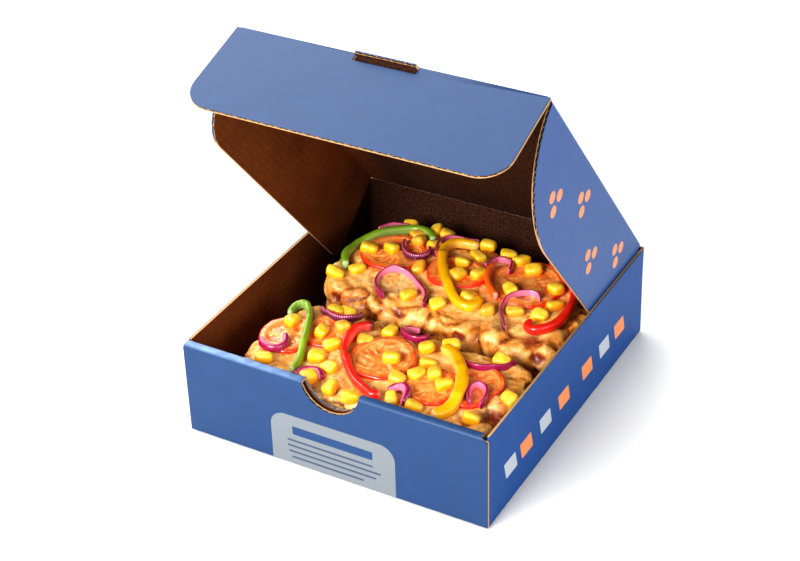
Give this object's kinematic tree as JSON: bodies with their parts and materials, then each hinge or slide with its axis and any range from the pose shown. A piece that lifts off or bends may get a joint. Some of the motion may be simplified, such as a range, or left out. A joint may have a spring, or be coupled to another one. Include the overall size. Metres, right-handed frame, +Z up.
{
  "type": "pizza in takeaway box",
  "caption": "Corrugated takeaway box with a hinged lid and a fold-down front flap, open over thick pizza slices topped with peppers, onion, tomato and sweetcorn.",
  "frame": {"origin": "centre of the tray's underside, on the surface that the box stands on", "axes": "+X to the right along the front wall, +Y from the front wall to the lid's hinge, +Z up; metres"},
  "size_m": [0.157, 0.172, 0.1866],
  "materials": {
    "board": "printed blue paper face on brown corrugated board, satin",
    "kraft": "bare brown paper face of corrugated board, matt",
    "dough": "baked bread, brown at the edge and open-pored",
    "cheese": "melted and baked cheese, pale with brown spots, slightly greasy",
    "tomato": "wet baked tomato slice",
    "pepper_green": "wet pepper strip with a glossy skin",
    "pepper_red": "wet pepper strip with a glossy skin",
    "pepper_yellow": "wet pepper strip with a glossy skin",
    "pepper_orange": "wet pepper strip with a glossy skin",
    "onion": "softened red onion, pink with purple skins",
    "sweetcorn": "plump wet kernel",
    "herbs": "dried herb flakes and browned crumbs"
  },
  "bodies": {
    "box": {"tray": "board", "dough_front": "dough", "dough_back": "dough", "cheese_front": "cheese", "cheese_back": "cheese", "tomato_front_1": "tomato", "tomato_front_2": "tomato", "tomato_front_3": "tomato", "tomato_front_4": "tomato", "tomato_front_5": "tomato", "tomato_back_1": "tomato", "tomato_back_2": "tomato", "tomato_back_3": "tomato", "pepper_green_front": "pepper_green", "pepper_red_front": "pepper_red", "pepper_yellow_front": "pepper_yellow", "pepper_green_back": "pepper_green", "pepper_yellow_back": "pepper_yellow", "pepper_orange_back": "pepper_orange", "pepper_red_back": "pepper_red", "onion_pink_front_left": "onion", "onion_purple_front_back": "onion", "onion_pink_front_rim": "onion", "onion_ring_front": "onion", "onion_purple_front_rim": "onion", "onion_crescent_front": "onion", "onion_ring_front_right": "onion", "onion_pink_back_edge": "onion", "onion_purple_back_left": "onion", "onion_pink_back_arc": "onion", "onion_pink_back_middle": "onion", "onion_curl_back": "onion", "onion_purple_back_right": "onion"},
    "lid": {"lid": "board"},
    "front_flap": {"front_flap": "board"}
  },
  "joints": [
    {"name": "lid_hinge", "type": "hinge", "parent": "box", "child": "lid", "pos_m": [0, 0.08525, 0.05075], "axis": [-1, 0, 0], "range_deg": [-50.3, 129.7]},
    {"name": "flap_hinge", "type": "hinge", "parent": "lid", "child": "front_flap", "pos_m": [0, -0.02494, 0.18347], "axis": [-1, 0, 0], "range_deg": [-22, 68]}
  ]
}
